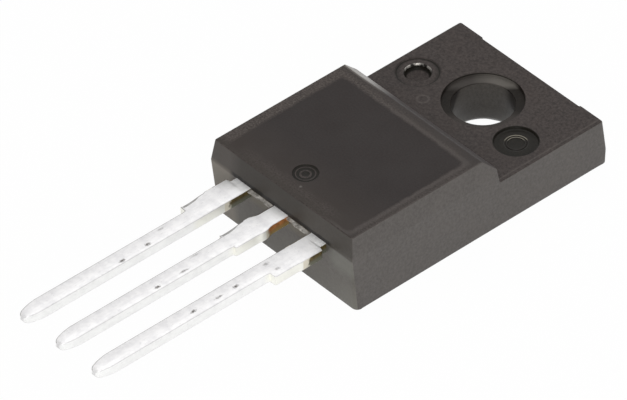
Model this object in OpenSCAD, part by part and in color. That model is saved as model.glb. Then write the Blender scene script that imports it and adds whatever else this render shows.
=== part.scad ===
// Three-lead voltage regulator in a fully moulded flat power package.
// Frame: X across the leads, +Y towards the tab, +Z up from the back face.
// The origin is the centre of the screw hole on the back face.

/* [Moulded body] */
// Width of the body at its parting line
body_w = 10; // [9.6:0.1:11]
// Length of the body from the lead end to the tab end
body_l = 16; // [15.5:0.1:16.8]
// Thickness of the thick part
body_t = 4.4; // [4.2:0.1:5]
// Thickness of the tab
tab_t = 2.7; // [2.4:0.05:3]
// Length of the thick part from the lead end to the foot of the step
thick_l = 9.2; // [8.8:0.05:9.6]
// Chamfer along the top edge of the step
step_chamfer = 0.8; // [0.4:0.05:1]
// Distance that the steep face under the chamfer leans out
step_lean = 0.15; // [0.05:0.05:0.4]
// Draft of the faces above the parting line, in degrees
upper_draft = 8; // [3:1:10]
// Draft of the lead-end face below the parting line, in degrees
lead_end_draft = 4; // [1:0.5:5]
// Draft of the tab-end face below the parting line, in degrees
tab_end_draft = 1.5; // [0.5:0.5:5]
// Draft of the side faces below the parting line, in degrees
side_draft = 0.25; // [0.25:0.25:3]
// Height of the parting line at the tab end
tab_parting_h = 0.85; // [0.6:0.05:1.5]
// Depth that the lead-end corners lose at the back face
corner_relief = 0.07; // [0.05:0.01:0.25]

/* [Screw hole] */
// Radius of the screw hole
hole_r = 1.55; // [1.5:0.05:1.7]
// Distance from the screw hole's centre to the tab end
hole_to_end = 3.35; // [3:0.05:3.6]
// Radius of the seat around the mouth of the hole
seat_r = 2; // [1.9:0.05:2.3]
// Depth of the seat
seat_depth = 0.25; // [0.1:0.05:0.6]

/* [Marks left by the mould] */
// Distance between the centres of the two holding-pin marks
pin_spacing = 6.9; // [6.7:0.05:7.4]
// Distance of the holding-pin marks behind the screw hole
pin_back = 0.9; // [0.8:0.05:1.3]
// Radius of the shallow rim of a holding-pin mark
pin_rim_r = 1.1; // [1:0.05:1.2]
// Depth of the shallow rim
pin_rim_depth = 0.12; // [0.05:0.01:0.2]
// Radius of the deeper middle of a holding-pin mark
pin_core_r = 0.6; // [0.5:0.02:0.9]
// Depth of the -X mark's middle below its rim
left_core_depth = 0.4; // [0.1:0.05:0.6]
// Depth of the +X mark's middle below its rim
right_core_depth = 0.15; // [0.1:0.05:0.6]
// Radius of the ejector mark on the top face
ejector_r = 0.62; // [0.4:0.02:0.8]
// Depth of the ejector mark
ejector_depth = 0.08; // [0.04:0.01:0.15]
// Distance of the ejector mark's centre from the lead end
ejector_in = 1.7; // [1.4:0.05:3]
// Distance that all three marks stand towards -X of the middle
mark_shift = 0.15; // [0:0.05:0.3]

/* [Leads] */
// Thickness of the leads
lead_t = 0.55; // [0.45:0.05:0.7]
// Height of the leads' underside above the back face
lead_h = 2.65; // [2.5:0.05:2.75]
// Distance between the centres of neighbouring leads
lead_pitch = 2.54; // [2.4:0.01:2.7]
// Length of the leads outside the body
lead_len = 13.5; // [12:0.05:14.5]
// Width of the narrow part of a lead
lead_w = 0.85; // [0.7:0.05:1]
// Width of a lead where it leaves the body
root_w = 1.06; // [0.9:0.02:1.2]
// Length of the middle lead's straight root
root_len = 0.95; // [0.5:0.05:1.2]
// Length of the straight root on the outward side of an outer lead
outer_root_len = 0.35; // [0.3:0.05:1.2]
// Width of the shoulder
shoulder_w = 1.3; // [1.2:0.02:1.7]
// Distance from the body to the end of the shoulder
shoulder_len = 3.25; // [3:0.05:3.6]
// Length over which the middle lead's root widens to the shoulder
flare_len = 0.5; // [0.3:0.05:0.75]
// Length of that widening on the outward side of an outer lead
outer_flare_len = 0.1; // [0.05:0.05:0.5]
// Length of the stretch where the tie bar was cut away
tie_cut_len = 1.5; // [0.8:0.05:1.6]
// Depth of that cut on each side
tie_cut_depth = 0.04; // [0.02:0.02:0.14]
// Width of a lead at its tip
tip_w = 0.42; // [0.3:0.02:0.6]
// Length of the pointed tip
tip_len = 1.1; // [0.6:0.05:1.5]
// Thickness of a lead at its tip
tip_t = 0.41; // [0.3:0.01:0.45]

/* [Bonding pads] */
// Width of the pads at the inner ends of the outer leads
pad_w = 1.9; // [1.5:0.05:2.1]
// Distance that the pads reach into the body
pad_reach = 2.2; // [1.9:0.05:2.5]
// Length of the neck between the body's face and a pad
pad_neck = 0.45; // [0.3:0.05:0.6]
// Cut at the corners of a pad
pad_corner = 0.25; // [0.1:0.05:0.4]

/* [Header plate] */
// Width of the plate that carries the chip
header_w = 8.2; // [7.6:0.1:8.6]
// Thickness of the plate
header_t = 1.27; // [1:0.01:1.4]
// Thickness of the moulding under the plate
header_h = 0.5; // [0.4:0.05:0.6]
// Distance from the lead end of the body to the plate
header_in = 2.1; // [1.9:0.05:2.5]
// Distance that the plate's two ears reach past the screw hole's centre
ear_reach = 0.4; // [0:0.05:0.8]
// Thickness of the moulding between the plate and the screw hole
hole_wall = 1; // [0.8:0.05:1.1]
// Cut at the outer corners of the plate
header_corner = 0.5; // [0.2:0.05:0.7]
// Length of the middle lead that stays level inside the body
level_len = 0.7; // [0.4:0.05:0.9]

/* [Chip and wires] */
// Width of the chip
die_w = 2.2; // [1.6:0.1:2.6]
// Length of the chip
die_l = 2; // [1.6:0.1:2.4]
// Thickness of the chip
die_t = 0.28; // [0.2:0.02:0.36]
// Thickness of the solder under the chip
solder_t = 0.04; // [0.03:0.01:0.08]
// Distance that the solder stands out around the chip
solder_margin = 0.1; // [0.05:0.05:0.2]
// Distance from the plate's lead-side edge to the chip's centre
die_in = 3; // [2.8:0.1:3.8]
// Diameter of a bond wire
wire_d = 0.2; // [0.12:0.02:0.25]
// Height of the long wires' loops over the line between their ends
loop_h = 0.75; // [0.6:0.05:0.9]
// Height of the ground wire's loop
ground_loop_h = 0.35; // [0.3:0.05:0.5]
// Length of the flattened foot at each end of a wire
foot_l = 0.4; // [0.3:0.05:0.5]

/* [Hidden] */

// Steps of the outline along a lead's pointed tip
TIP_STEPS = 4;
// Distance that a cutting solid reaches past what it cuts
CUT = 1;

// Heights
lead_top = lead_h + lead_t;
header_top = header_h + header_t;
solder_top = header_top + solder_t;
die_top = solder_top + die_t;
// Places along the body
lead_end_y = hole_to_end - body_l;
foot_y = lead_end_y + thick_l;
step_y = foot_y - step_lean - step_chamfer;
header_y = lead_end_y + header_in;
die_y = header_y + die_in;
tip_y = lead_end_y - lead_len;
// How far the drafted faces lean in
lead_end_lean_low = lead_top * tan(lead_end_draft);
lead_end_lean_up = (body_t - lead_top) * tan(upper_draft);
tab_end_lean_low = tab_parting_h * tan(tab_end_draft);
tab_end_lean_up = (tab_t - tab_parting_h) * tan(upper_draft);
side_lean_low = lead_top * tan(side_draft);
side_lean_up = (body_t - lead_top) * tan(upper_draft);
// Bond wires
foot_w = 1.4 * wire_d;
foot_t = 0.7 * wire_d;
// The outer leads' sides towards the middle one are straight, so their roots stand outwards of their tips
root_shift = (root_w - lead_w) / 2;
pad_x = lead_pitch + root_shift;
pad_bond_y = lead_end_y + pad_reach - foot_l;
die_bond_x = die_w / 2 - foot_l;
die_bond_y = die_y - die_l / 2 + foot_l;
ground_bond_y = header_y + foot_l;

$fn = 64;

// Side outline of the body, in Y and Z: both end faces, the step and the parting line's corners.
module body_side_outline() {
    polygon([
        [lead_end_y + lead_end_lean_low, 0],
        [lead_end_y, lead_top],
        [lead_end_y + lead_end_lean_up, body_t],
        [step_y, body_t],
        [step_y + step_chamfer, body_t - step_chamfer],
        [foot_y, tab_t],
        [hole_to_end - tab_end_lean_up, tab_t],
        [hole_to_end, tab_parting_h],
        [hole_to_end - tab_end_lean_low, 0]
    ]);
}

// End outline of the body, in X and Z: widest at the leads' top face, where the mould parts.
module body_end_outline() {
    polygon([
        [side_lean_low - body_w / 2, 0],
        [-body_w / 2, lead_top],
        [side_lean_up - body_w / 2, body_t],
        [body_w / 2 - side_lean_up, body_t],
        [body_w / 2, lead_top],
        [body_w / 2 - side_lean_low, 0]
    ]);
}

// Wedge off the +X corner of the lead end, from nothing at the parting line to its full depth at the back face.
module corner_wedge() {
    depth = (lead_end_lean_low + side_lean_low) / sqrt(2) + corner_relief;
    translate([body_w / 2, lead_end_y, lead_top])
        rotate([0, atan(depth / lead_top), -45])
            translate([0, -CUT, -2 * lead_top])
                cube([CUT, 2 * CUT, 2 * lead_top]);
}

// Recess that a holding pin leaves in the tab: a shallow rim with a deeper middle.
module pin_mark(core_depth) {
    translate([0, 0, tab_t - pin_rim_depth])
        cylinder(r = pin_rim_r, h = CUT);
    translate([0, 0, tab_t - pin_rim_depth - core_depth])
        cylinder(r = pin_core_r, h = CUT);
}

module screw_hole() {
    translate([0, 0, -CUT])
        cylinder(r = hole_r, h = tab_t + 2 * CUT);
    translate([0, 0, tab_t - seat_depth])
        cylinder(r = seat_r, h = CUT);
}

// Outside of the moulding, with no room inside it yet.
module body_block() {
    difference() {
        intersection() {
            translate([-body_w / 2, 0, 0])
                rotate([90, 0, 90])
                    linear_extrude(body_w)
                        body_side_outline();
            translate([0, hole_to_end, 0])
                rotate([90, 0, 0])
                    linear_extrude(body_l)
                        body_end_outline();
        }
        corner_wedge();
        mirror([1, 0, 0])
            corner_wedge();
        screw_hole();
        translate([-pin_spacing / 2 - mark_shift, -pin_back, 0])
            pin_mark(left_core_depth);
        translate([pin_spacing / 2 - mark_shift, -pin_back, 0])
            pin_mark(right_core_depth);
        translate([-mark_shift, lead_end_y + ejector_in, body_t - ejector_depth])
            cylinder(r = ejector_r, h = CUT);
    }
}

// The moulding, cast around everything that is inside it.
module moulded_body() {
    color([0.24, 0.22, 0.21])
        difference() {
            body_block();
            header_and_middle_lead();
            input_lead();
            output_lead();
            die();
            die_solder();
            input_wire();
            output_wire();
            ground_wire();
        }
}

// Tip end of one side of a lead's plan outline, from where it starts to narrow.
function tip_edge(side) = [
    for (i = [0 : TIP_STEPS])
        let (t = i / TIP_STEPS)
        [side * (lead_w - (lead_w - tip_w) * t * t) / 2, lead_len - tip_len * (1 - t)]
];

// One side of a lead's plan outline outside the body with a shoulder on it, from the body's face to the tip.
// root_x and shoulder_x are how far the root and the shoulder stand from the middle of the tip.
function shoulder_edge(side, root_x, shoulder_x, straight, flare) =
    let (
        cut_from = shoulder_len - tie_cut_len,
        cut_x = shoulder_x - tie_cut_depth
    )
    concat(
        [
            [side * root_x, straight],
            [side * shoulder_x, straight + flare],
            [side * shoulder_x, cut_from],
            [side * cut_x, cut_from],
            [side * cut_x, shoulder_len],
            [side * lead_w / 2, shoulder_len]
        ],
        tip_edge(side)
    );

// One side of the middle lead's outline outside the body.
function middle_edge(side) = shoulder_edge(side, root_w / 2, shoulder_w / 2, root_len, flare_len);

// The outward side of an outer lead's outline outside the body.
function outward_edge() =
    shoulder_edge(1, root_w - lead_w / 2, shoulder_w - lead_w / 2, outer_root_len, outer_flare_len);

// One side of the bonding pad inside the body, from its inner end to the neck. Inwards is negative.
function pad_edge(side) = [
    [root_shift + side * (pad_w / 2 - pad_corner), -pad_reach],
    [root_shift + side * pad_w / 2, pad_corner - pad_reach],
    [root_shift + side * pad_w / 2, -pad_neck - pad_corner],
    [root_shift + side * root_w / 2, -pad_neck]
];

// One side of the middle lead inside the body, which runs on to the header plate.
function header_edge(side) = [[side * root_w / 2, -header_in - lead_t]];

function reversed(list) = [for (i = [len(list) - 1 : -1 : 0]) list[i]];

// Plan outline of a whole lead, from the list of points down its -X side and the list down its +X side.
module lead_outline(left, right) {
    translate([0, lead_end_y])
        mirror([0, 1])
            polygon(concat(left, reversed(right)));
}

// Side outline of a lead's tip end, thinned towards the tip on both faces.
module lead_side_outline(inner_y) {
    thin = (lead_t - tip_t) / 2;
    polygon([
        [inner_y, lead_h],
        [inner_y, lead_top],
        [tip_y + tip_len, lead_top],
        [tip_y, lead_top - thin],
        [tip_y, lead_h + thin],
        [tip_y + tip_len, lead_h]
    ]);
}

// A flat shape across X, made from its side outline.
module across(width) {
    translate([-width / 2, 0, 0])
        rotate([90, 0, 90])
            linear_extrude(width)
                children();
}

// The outer lead at +X, drawn about the middle of its tip.
module outer_lead() {
    intersection() {
        translate([0, 0, lead_h])
            linear_extrude(lead_t)
                lead_outline(
                    concat(pad_edge(-1), tip_edge(-1)),
                    concat(pad_edge(1), outward_edge())
                );
        across(2 * pad_w)
            lead_side_outline(lead_end_y + pad_reach);
    }
}

module output_lead() {
    color([0.82, 0.82, 0.8])
        translate([lead_pitch, 0, 0])
            outer_lead();
}

module input_lead() {
    color([0.82, 0.82, 0.8])
        mirror([1, 0, 0])
            translate([lead_pitch, 0, 0])
                outer_lead();
}

// Plan outline of the header plate: cut corners, and a notch that leaves a wall of moulding round the screw hole.
module header_outline() {
    half = header_w / 2;
    difference() {
        polygon([
            [header_corner - half, header_y],
            [-half, header_y + header_corner],
            [-half, ear_reach - header_corner],
            [header_corner - half, ear_reach],
            [half - header_corner, ear_reach],
            [half, ear_reach - header_corner],
            [half, header_y + header_corner],
            [half - header_corner, header_y]
        ]);
        circle(r = hole_r + hole_wall);
    }
}

// Side outline of the middle lead: level through the body's face, then down to the plate's top.
module middle_lead_side_outline() {
    level_y = lead_end_y + level_len;
    thin = (lead_t - tip_t) / 2;
    polygon([
        [tip_y, lead_h + thin],
        [tip_y, lead_top - thin],
        [tip_y + tip_len, lead_top],
        [level_y, lead_top],
        [header_y, header_top],
        [header_y + lead_t, header_top],
        [header_y + lead_t, header_top - lead_t],
        [header_y, header_top - lead_t],
        [level_y, lead_h],
        [tip_y + tip_len, lead_h]
    ]);
}

module header_and_middle_lead() {
    color([0.82, 0.8, 0.76])
        union() {
            translate([0, 0, header_h])
                linear_extrude(header_t)
                    header_outline();
            intersection() {
                linear_extrude(body_t)
                    lead_outline(
                        concat(header_edge(-1), middle_edge(-1)),
                        concat(header_edge(1), middle_edge(1))
                    );
                across(2 * shoulder_w)
                    middle_lead_side_outline();
            }
        }
}

module die() {
    color([0.3, 0.31, 0.36])
        translate([-die_w / 2, die_y - die_l / 2, solder_top])
            cube([die_w, die_l, die_t]);
}

module die_solder() {
    color([0.6, 0.6, 0.6])
        translate([-die_w / 2 - solder_margin, die_y - die_l / 2 - solder_margin, header_top])
            cube([die_w + 2 * solder_margin, die_l + 2 * solder_margin, solder_t]);
}

// Flattened end of a wire, lying on the surface under it.
module wire_foot() {
    translate([-foot_l / 2, -foot_w / 2, 0])
        cube([foot_l, foot_w, foot_t]);
}

// A wire that loops from one surface point to another as an arc, rise above the line between its ends.
module bond_wire(from, to, rise) {
    span = norm([to.x - from.x, to.y - from.y]);
    drop = to.z - from.z;
    chord = norm([span, drop]);
    radius = (chord * chord / 4 + rise * rise) / (2 * rise);
    centre_u = span / 2 + (radius - rise) * drop / chord;
    centre_z = drop / 2 - (radius - rise) * span / chord;
    from_angle = atan2(-centre_z, -centre_u);
    to_angle = atan2(drop - centre_z, span - centre_u);
    heading = atan2(to.y - from.y, to.x - from.x);
    translate(from)
        rotate([0, 0, heading]) {
            wire_foot();
            translate([span, 0, drop])
                wire_foot();
            translate([centre_u, 0, centre_z + wire_d / 2])
                rotate([90, 0, 0])
                    rotate([0, 0, to_angle])
                        rotate_extrude(angle = from_angle - to_angle)
                            translate([radius, 0])
                                circle(d = wire_d, $fn = 24);
        }
}

module input_wire() {
    color([0.85, 0.85, 0.86])
        bond_wire([-die_bond_x, die_bond_y, die_top], [-pad_x, pad_bond_y, lead_top], loop_h);
}

module output_wire() {
    color([0.85, 0.85, 0.86])
        bond_wire([die_bond_x, die_bond_y, die_top], [pad_x, pad_bond_y, lead_top], loop_h);
}

// The wire that ties the chip's ground to the plate beside the middle lead.
module ground_wire() {
    color([0.85, 0.85, 0.86])
        bond_wire([0, die_bond_y, die_top], [root_w, ground_bond_y, header_top], ground_loop_h);
}

moulded_body();
header_and_middle_lead();
input_lead();
output_lead();
die();
die_solder();
input_wire();
output_wire();
ground_wire();
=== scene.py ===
"""Looks of a three-lead voltage regulator in a fully moulded package.

Lengths in this file are millimetres in the part's own frame: X across the leads,
+Y towards the tab, +Z up from the back face, origin under the screw hole.
"""
import bmesh
import bpy
import numpy as np
from mathutils import Matrix, Vector
from mathutils.geometry import delaunay_2d_cdt


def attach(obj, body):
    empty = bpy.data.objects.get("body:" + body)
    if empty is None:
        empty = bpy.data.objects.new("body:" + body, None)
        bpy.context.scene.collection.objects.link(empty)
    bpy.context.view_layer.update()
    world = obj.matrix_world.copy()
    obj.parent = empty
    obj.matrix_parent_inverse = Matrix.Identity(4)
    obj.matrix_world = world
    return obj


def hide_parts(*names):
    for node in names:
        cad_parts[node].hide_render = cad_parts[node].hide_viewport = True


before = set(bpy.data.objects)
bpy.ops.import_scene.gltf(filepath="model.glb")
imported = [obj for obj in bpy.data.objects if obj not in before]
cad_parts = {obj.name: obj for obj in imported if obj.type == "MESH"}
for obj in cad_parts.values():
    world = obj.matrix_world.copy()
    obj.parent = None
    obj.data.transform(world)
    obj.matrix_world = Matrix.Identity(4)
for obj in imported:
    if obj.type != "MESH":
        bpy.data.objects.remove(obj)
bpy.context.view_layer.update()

MM = 0.001
TAU = 2 * np.pi

# Body, as in the part. The corner radii in plan are at the back face, the parting line and the top
HALF_W = 5.0
BODY_T = 4.4
TAB_T = 2.7
LEAD_END = -12.65
TAB_END = 3.35
STEP_Y = -4.4
CHAMFER = 0.8
FOOT_Y = -3.45
PARTING_Z = 3.2
TAB_PARTING_Z = 0.85
RECESS_HALF = 3.42
RECESS_DEPTH = 0.07
LEAD_CORNER_R = (0.32, 0.09, 0.09)
TAB_CORNER_R = (0.2, 0.15, 0.13)
UPPER_LEAN = np.tan(np.radians(8))
LEAD_END_LEAN = np.tan(np.radians(4))
TAB_END_LEAN = np.tan(np.radians(1.5))
SIDE_LEAN = np.tan(np.radians(0.25))

# Smooth field on top of the thick part: its middle and its half sizes
FIELD = (0.065, -8.67)
FIELD_HALF = (4.295, 3.63)

# Hole and mould marks
HOLE_R = 1.55
SEAT_R = 2.0
SEAT_Z = 2.45
LEFT_PIN = (-3.6, -0.9)
RIGHT_PIN = (3.3, -0.9)
EJECTOR = (-0.15, -10.95)
FAINT_RING = (-1.95, -2.06)

# Level directions in degrees from +X: the side away from the view, where painted light falls on the hole's
# ledge and on the marks' rims, and across it, the view's right, along which painted shade darkens flanks;
# with how far the left pin mark lies along the second
AWAY_FROM_VIEW = 139.6
ACROSS_VIEW = 49.6
LEFT_PIN_ACROSS = -3.02

# Leads
PITCH = 2.54
LEAD_H = 2.65
LEAD_TOP = 3.2
LEAD_LEN = 13.5
TIP_LEN = 1.1
NARROW_HALF = 0.425
ROOT_HALF = 0.53
SHOULDER_HALF = 0.65
ROOT_SHIFT = 0.105
HEADER_TOP = 1.77
HEADER_H = 0.5
HEADER_IN = 2.1
HEADER_HALF = 4.1
BEND_START = 0.7
BEND_LEN = 1.4
LEAD_EDGE = (0.05, 0.05)
INNER_EDGE = (0.02, 0.02)

# Finishes of the body and of a lead, numbered in the order of their material slots
GRAINED, SIDE, STEP, MARK_FLOOR_SHADE, BACK, BORE, THICK_TOP, END_FACE, RIM, LEDGE = range(10)
PLATED, BARE, CUT_EDGE, LIT_FLANK = range(4)

# Profiles of the mould marks: radius, depth, and the finish from that ring inwards
EJECTOR_PROFILE = [
    (0.66, 0, GRAINED), (0.64, 0.012, MARK_FLOOR_SHADE), (0.625, 0.05, MARK_FLOOR_SHADE), (0.6, 0.07, MARK_FLOOR_SHADE),
    (0.54, 0.07, MARK_FLOOR_SHADE), (0.5, 0.05, GRAINED), (0.45, 0.05, MARK_FLOOR_SHADE), (0.41, 0.075, MARK_FLOOR_SHADE),
    (0.3, 0.078, GRAINED), (0.27, 0.06, GRAINED), (0.2, 0.06, MARK_FLOOR_SHADE), (0.16, 0.08, MARK_FLOOR_SHADE),
    (0, 0.08, None),
]
# Left pin mark: its darkest strips, in the groove and down the pit's wall, are painted shade
LEFT_PIN_PROFILE = [
    (1.12, 0, GRAINED), (1.09, 0.012, GRAINED), (1.06, 0.05, MARK_FLOOR_SHADE), (1.0, 0.07, GRAINED),
    (0.93, 0.06, GRAINED), (0.84, 0.035, GRAINED), (0.74, 0.02, GRAINED), (0.69, 0.03, RIM),
    (0.655, 0.06, RIM), (0.63, 0.14, MARK_FLOOR_SHADE), (0.6, 0.3, MARK_FLOOR_SHADE), (0.54, 0.35, GRAINED),
    (0.3, 0.36, GRAINED), (0, 0.36, None),
]
RIGHT_PIN_PROFILE = [
    (1.12, 0, MARK_FLOOR_SHADE), (1.09, 0.015, MARK_FLOOR_SHADE), (1.075, 0.05, MARK_FLOOR_SHADE), (1.05, 0.12, MARK_FLOOR_SHADE),
    (1.0, 0.14, MARK_FLOOR_SHADE), (0.9, 0.14, MARK_FLOOR_SHADE), (0.82, 0.12, MARK_FLOOR_SHADE), (0.6, 0.12, RIM),
    (0.55, 0.13, MARK_FLOOR_SHADE), (0.52, 0.16, MARK_FLOOR_SHADE), (0.49, 0.16, RIM), (0.47, 0.13, RIM),
    (0.42, 0.13, MARK_FLOOR_SHADE), (0.4, 0.16, MARK_FLOOR_SHADE), (0.36, 0.17, MARK_FLOOR_SHADE), (0.2, 0.18, MARK_FLOOR_SHADE),
    (0, 0.18, None),
]

# Profile of the hole from its mouth down: radius, height, and the finish from that ring to the next
HOLE_PROFILE = [
    (SEAT_R + 0.025, TAB_T, GRAINED), (SEAT_R + 0.012, TAB_T - 0.005, GRAINED),
    # The dark strip just below the mouth's rounded edge is painted shade
    (SEAT_R + 0.003, TAB_T - 0.018, LEDGE), (SEAT_R, TAB_T - 0.04, MARK_FLOOR_SHADE),
    (SEAT_R - 0.003, TAB_T - 0.09, LEDGE), (SEAT_R - 0.01, SEAT_Z + 0.05, LEDGE),
    (SEAT_R - 0.025, SEAT_Z + 0.015, LEDGE), (SEAT_R - 0.05, SEAT_Z, LEDGE),
    (HOLE_R + 0.03, SEAT_Z, LEDGE), (HOLE_R + 0.006, SEAT_Z - 0.015, LEDGE),
    (HOLE_R, SEAT_Z - 0.08, BORE), (HOLE_R - 0.03, TAB_PARTING_Z + 0.03, BORE),
    (HOLE_R - 0.03, TAB_PARTING_Z, BORE), (HOLE_R - 0.015, 0.36, BORE),
    (HOLE_R + 0.05, 0.22, BORE), (HOLE_R + 0.18, 0.06, BORE),
]
BACK_MOUTH_R = HOLE_R + 0.25


# Building meshes

def grid_faces(rows, columns, closed):
    """Quads between neighbouring rows and columns; closed joins the last column to the first."""
    r = np.arange(rows - 1)[:, None]
    c = np.arange(columns if closed else columns - 1)[None, :]
    n = (c + 1) % columns
    quads = [r * columns + c, (r + 1) * columns + c, (r + 1) * columns + n, r * columns + n]
    return np.stack(quads, -1).reshape(-1, 4)


class Shell:
    """Patches of one closed surface, each with the number of its finish."""

    def __init__(self):
        self.points = []
        self.faces = []
        self.finishes = []
        self.level = []
        self.count = 0

    def add(self, points, faces, finish, level=False):
        """Add one patch. finish is one number or one for each face; level faces are shaded flat."""
        points = np.asarray(points, float).reshape(-1, 3)
        self.points.append(points)
        self.faces += (np.asarray(faces) + self.count).tolist()
        self.finishes.extend(np.broadcast_to(finish, len(faces)).tolist())
        self.level.extend([level] * len(faces))
        self.count += len(points)

    def grid(self, points, closed, finish):
        rows, columns = points.shape[:2]
        self.add(points, grid_faces(rows, columns, closed), finish)

    def rings(self, points, profile):
        """Closed rings joined in order; the strip after a ring has that ring's finish in the profile."""
        strips = [row[-1] for row in profile[:len(points) - 1]]
        self.grid(points, True, np.repeat(strips, points.shape[1]))

    def flat(self, outer, holes, height, finish):
        """Level face inside the loop outer and outside the loops holes, cut into triangles."""
        loops = [outer] + holes
        flat_points = np.concatenate(loops)
        edges = []
        start = 0
        for loop in loops:
            index = np.arange(len(loop))
            edges += np.stack([start + index, start + (index + 1) % len(loop)], -1).tolist()
            start += len(loop)
        vectors = [Vector(p) for p in flat_points.tolist()]
        found, _, triangles, origin, _, _ = delaunay_2d_cdt(vectors, edges, [], 1, 1e-7)
        place = np.array([flat_points[o[0]] if o else tuple(v) for v, o in zip(found, origin)])
        loop_of = np.repeat(np.arange(len(loops)), [len(loop) for loop in loops])
        loop_of = np.array([loop_of[o[0]] if o else -1 for o in origin])

        # A triangle with all three corners on one hole's loop lies in that hole
        triangles = np.array(triangles)
        corners = loop_of[triangles]
        keep = ~((corners[:, 0] == corners[:, 1]) & (corners[:, 1] == corners[:, 2]) & (corners[:, 0] > 0))
        heights = np.full((len(place), 1), height)
        self.add(np.hstack([place, heights]), triangles[keep], finish, True)

    def build(self, name, finishes, smooth_angle=40):
        """Object of all patches, merged; an edge that turns by smooth_angle degrees or more stays sharp."""
        mesh = bpy.data.meshes.new(name)
        mesh.from_pydata((np.concatenate(self.points) * MM).tolist(), [], self.faces)
        for finish in finishes:
            mesh.materials.append(finish)
        mesh.polygons.foreach_set("material_index", self.finishes)
        mesh.polygons.foreach_set("use_smooth", np.logical_not(self.level).tolist())
        work = bmesh.new()
        work.from_mesh(mesh)
        bmesh.ops.remove_doubles(work, verts=work.verts, dist=2e-7)
        bmesh.ops.dissolve_degenerate(work, dist=1e-8, edges=work.edges)
        bmesh.ops.recalc_face_normals(work, faces=work.faces)
        limit = float(np.radians(smooth_angle))
        for edge in work.edges:
            edge.smooth = len(edge.link_faces) == 2 and edge.calc_face_angle(0) < limit
        work.to_mesh(mesh)
        work.free()
        piece = bpy.data.objects.new(name, mesh)
        bpy.context.scene.collection.objects.link(piece)
        return piece


def ring(centre, radius, height, steps=96, wave=None):
    """Circle of steps points: x = cx + r cos a, y = cy + r sin a at one height, r varied by wave(a)."""
    a = np.arange(steps) * TAU / steps
    r = radius + (wave(a) if wave else 0)
    return np.stack([centre[0] + r * np.cos(a), centre[1] + r * np.sin(a), np.full(steps, height)], -1)


def turned(centre, profile, steps=96):
    """Surface turned about a vertical axis: each row of the profile gives a ring its radius and height."""
    return np.stack([ring(centre, r, z, steps) for r, z, _ in profile])


def sunk(centre, top, profile, steps):
    """Mould mark turned about a vertical axis: the profile gives depths below the height top."""
    return turned(centre, [(r, top - depth, finish) for r, depth, finish in profile], steps)


def rounded_line(points, radii, arc_steps=5):
    """Line through points with each inner corner replaced by an arc of its radius.

    An arc starts r tan(turn / 2) before the corner. Returns the points and their normals to the right.
    """
    points = np.asarray(points, float)
    out = []
    normals = []
    directions = np.diff(points, axis=0)
    angles = np.arctan2(directions[:, 1], directions[:, 0])
    out.append(points[:1])
    normals.append(np.array([[np.sin(angles[0]), -np.cos(angles[0])]]))
    for i, radius in enumerate(radii):
        a0, a1 = angles[i], angles[i + 1]
        turn = a1 - a0
        reach = radius * np.tan(abs(turn) / 2)
        start = points[i + 1] - reach * np.array([np.cos(a0), np.sin(a0)])
        sign = np.sign(turn)
        a = np.linspace(a0, a1, arc_steps)
        right = np.stack([np.sin(a), -np.cos(a)], -1)
        centre = start - sign * radius * right[0]
        out.append(centre + sign * radius * right)
        normals.append(right)
    out.append(points[-1:])
    normals.append(np.array([[np.sin(angles[-1]), -np.cos(angles[-1])]]))
    return np.concatenate(out), np.concatenate(normals)


def curve_between(a, b, c, t):
    """Quadratic curve from a to c that leaves and arrives along the lines to b."""
    t = t[:, None, None]
    return (1 - t) ** 2 * a + 2 * t * (1 - t) * b + t ** 2 * c


# Moulded body

def half_width(z):
    """Half width of the body at height z: it leans in above and below the parting line."""
    return HALF_W - np.where(z > PARTING_Z, (z - PARTING_Z) * UPPER_LEAN, (PARTING_Z - z) * SIDE_LEAN)


def lead_face(z):
    """Y of the lead-end face at height z."""
    inwards = np.where(z > PARTING_Z, (z - PARTING_Z) * UPPER_LEAN, (PARTING_Z - z) * LEAD_END_LEAN)
    return LEAD_END + inwards


def tab_face(z):
    """Y of the tab-end face at height z."""
    above = (z - TAB_PARTING_Z) * UPPER_LEAN
    return TAB_END - np.where(z > TAB_PARTING_Z, above, -above / UPPER_LEAN * TAB_END_LEAN)


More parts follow.
